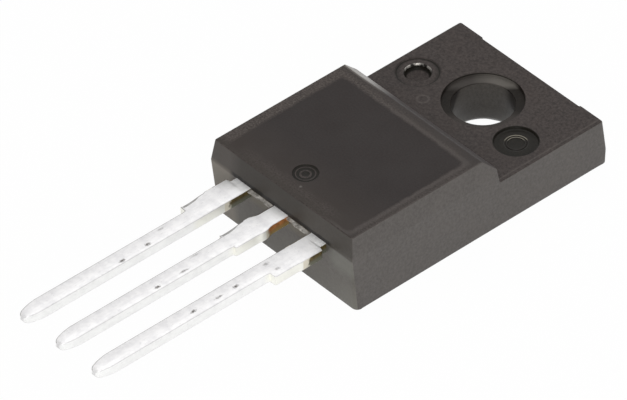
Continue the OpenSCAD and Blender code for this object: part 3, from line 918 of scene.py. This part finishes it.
def plain_metal(name, dark, light, roughness, feature):
    """Metal or silicon inside the part: two close tones in a fine mottle."""
    f = Finish(name)
    mottle = f.noise(feature, 3.0)
    colour = f.mix(f.ramp(mottle, 0.35, 0.65), rgb(*dark), rgb(*light))
    normal = f.bump(mottle, 0.002)
    rough = f.ramp(mottle, 0.3, 0.7, roughness - 0.05, roughness + 0.05)
    return f.set(Base_Color=colour, Metallic=1.0, Roughness=rough, Normal=normal)


# Places of the pits and smears in the plating, with how far Y counts, their radius and their strength
PITS = [
    ([(-2.35, -18.75), (-2.27, -20.35), (0.24, -20.35), (2.63, -17.7), (2.63, -20.25), (2.99, -15.45),
      (2.39, -15.65)], 0.6, 0.12, 1.0),
    ([(0.21, -18.75), (2.67, -18.75)], 0.3, 0.09, 0.7),
    ([(-2.76, -17.6), (-0.29, -17.65)], 0.3, 0.09, 0.4),
]

grain_top = moulding("moulding_grained", (42, 36, 34), (70, 63, 60), 0.14, 0.016, 0.6, 0.2, tab_shade)
thick_face = thick_top("moulding_thick_top", (37, 31, 28), (86, 79, 75), 0.1, 0.018, 0.6, 0.2)
smooth_side = moulding("moulding_side", (79, 75, 72), (93, 89, 86), 0.16, 0.006, 0.5, 0.3)
lead_end = moulding("moulding_lead_end", (76, 72, 67), (92, 88, 83), 0.16, 0.008, 0.5, 0.3, lead_end_shade)
step_face = moulding("moulding_step", (42, 37, 36), (58, 52, 51), 0.12, 0.007, 0.45, 0.3, step_shade)
# Dark floors of the mould marks, also used as painted shade on walls and grooves in the marks and the hole
recess_floor_shade = moulding("moulding_recess_floor", (20, 18, 14), (32, 29, 24), 0.1, 0.004, 0.45, 0.12)
back_face = moulding("moulding_back", (54, 51, 49), (64, 60, 58), 0.1, 0.005, 0.45, 0.3)
bore_wall = moulding("moulding_bore_wall", (74, 70, 66), (90, 86, 81), 0.14, 0.006, 0.4, 0.3, bore_shade)
# Dark as painted shade on the flanks of the hole's mouth
ledge = moulding("moulding_ledge", (24, 21, 18), (36, 32, 28), 0.1, 0.004, 0.5, 0.1, ledge_shade)
pin_rim = rim_painted_glints("moulding_worn_rim")
plated = tin("tinned_copper", (226, 225, 225), (212, 211, 212), PITS)
plated_edge = tin("tinned_copper_edge", (166, 165, 163), (140, 138, 134))
# Paler copy of the tin for the leads' flat sides: painted light
plated_side_lit = tin("tinned_copper_side_lit", (252, 252, 251), (243, 243, 242), (), 0.3)
bare = copper("bare_copper")

body_finishes = [grain_top, smooth_side, step_face, recess_floor_shade, back_face, bore_wall, thick_face,
                 lead_end, pin_rim, ledge]
body = body_skin().build("body_skin", body_finishes)
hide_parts("moulded_body")

lead_finishes = [plated, bare, plated_edge, plated_side_lit]
leads = [
    outer_lead("input_lead_plated", -1, lead_finishes),
    middle_lead("middle_lead_plated", lead_finishes),
    outer_lead("output_lead_plated", 1, lead_finishes),
]
for piece, node in zip(leads, ("input_lead", "header_and_middle_lead", "output_lead")):
    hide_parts(node)

flash_shell = Shell()
flash_strip(flash_shell, -PITCH + 0.4, -0.5, 1.0)
flash_strip(flash_shell, 0.5, PITCH - 0.4, 4.0)
# Dark epoxy whose pale tones are painted glints on the ragged flash
flash_glints = moulding("moulding_flash_glints", (72, 68, 63), (182, 178, 171), 0.3, 0.012, 0.45, 0.3)
flash = flash_shell.build("flash_strips", [flash_glints])

for piece in [body, flash] + leads:
    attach(piece, "root")

inside_finishes = {
    "die": plain_metal("silicon", (96, 98, 112), (80, 82, 96), 0.3, 0.3),
    "die_solder": plain_metal("solder", (170, 170, 172), (150, 150, 150), 0.4, 0.1),
    "input_wire": plain_metal("wire", (215, 215, 218), (198, 198, 202), 0.3, 0.05),
}
inside_finishes["output_wire"] = inside_finishes["input_wire"]
inside_finishes["ground_wire"] = inside_finishes["input_wire"]
for node, finish in inside_finishes.items():
    mesh_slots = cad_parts[node].material_slots
    if not mesh_slots:
        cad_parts[node].data.materials.append(finish)
    for mesh_slot in mesh_slots:
        mesh_slot.material = finish


# Studio

def studio():
    """White floor and world, one large soft lamp above and a smaller one to the side.

    Places and sizes here are metres, and the floor is a hair below the back face.
    """
    floor_mesh = bpy.data.meshes.new("floor")
    reach = 0.6
    height = -0.00002
    corners = [(-reach, -reach), (reach, -reach), (reach, reach), (-reach, reach)]
    floor_mesh.from_pydata([(x, y, height) for x, y in corners], [], [(0, 1, 2, 3)])
    floor = bpy.data.objects.new("floor", floor_mesh)
    bpy.context.scene.collection.objects.link(floor)
    f = Finish("floor")
    path = f.node("ShaderNodeLightPath")
    seen = f.maths("MAXIMUM", path.outputs["Is Camera Ray"], path.outputs["Is Glossy Ray"])
    seen = f.maths("MAXIMUM", seen, path.outputs["Is Transmission Ray"])
    glow = f.node("ShaderNodeEmission", {"Color": (1, 1, 1, 1), "Strength": 1.0})
    paper = f.node("ShaderNodeBsdfDiffuse", {"Color": rgb(235, 235, 235)})
    blend = f.node("ShaderNodeMixShader", {"Fac": f.times(seen, 0.98)})
    f.put(paper.outputs[0], blend.inputs[1])
    f.put(glow.outputs[0], blend.inputs[2])
    f.put(blend.outputs[0], f.tree.nodes["Material Output"].inputs["Surface"])
    floor_mesh.materials.append(f.material)

    world = bpy.data.worlds.new("studio")
    bpy.context.scene.world = world
    world.use_nodes = True
    w = Nodes(world.node_tree)
    path = w.node("ShaderNodeLightPath")
    seen = w.maths("MAXIMUM", path.outputs["Is Camera Ray"], path.outputs["Is Glossy Ray"])
    background = w.tree.nodes["Background"]
    w.put((1, 1, 1, 1), background.inputs["Color"])
    w.put(w.ramp(seen, 0, 1, 0.55, 1.0), background.inputs["Strength"])

    for name, place, size, power in (
        ("lamp_above", (-0.05, 0.06, 0.24), 0.18, 0.16),
        ("lamp_side", (0.16, -0.15, 0.09), 0.14, 0.22),
    ):
        lamp = bpy.data.lights.new(name, "AREA")
        lamp.size = size
        lamp.energy = power
        holder = bpy.data.objects.new(name, lamp)
        holder.location = place
        aim = Vector((0, -0.005, 0.002)) - Vector(place)
        holder.rotation_euler = aim.to_track_quat("-Z", "Y").to_euler()
        bpy.context.scene.collection.objects.link(holder)


def camera():
    """The photograph's view: a long lens with a slight roll, 402 mm from the object.

    scale is pixels per millimetre at the origin, and the aim is the picture's middle in millimetres.
    """
    a, e, roll = np.radians([49.6279, 40.6664, -1.4709])
    scale, distance, aim_x, aim_y = 21.1347, 401.52, -8.0377, -2.6855
    picture_width = 627
    right = np.array([np.cos(a), np.sin(a), 0])
    back = np.array([np.sin(a) * np.cos(e), -np.cos(a) * np.cos(e), np.sin(e)])
    up = np.cross(back, right)
    level_right, level_up = right, up
    right = np.cos(roll) * level_right + np.sin(roll) * level_up
    up = np.cos(roll) * level_up - np.sin(roll) * level_right
    place = (back * distance + right * aim_x + up * aim_y) * MM
    lens = bpy.data.cameras.new("camera")
    lens.sensor_width = 36
    lens.lens = lens.sensor_width * scale * distance / picture_width
    lens.clip_start = 0.01
    lens.clip_end = 10
    holder = bpy.data.objects.new("camera", lens)
    turn = Matrix(np.stack([right, up, back], -1).tolist()).to_4x4()
    holder.matrix_world = Matrix.Translation(place.tolist()) @ turn
    bpy.context.scene.collection.objects.link(holder)
    bpy.context.scene.camera = holder


studio()
camera()
bpy.context.scene.view_settings.view_transform = "Standard"
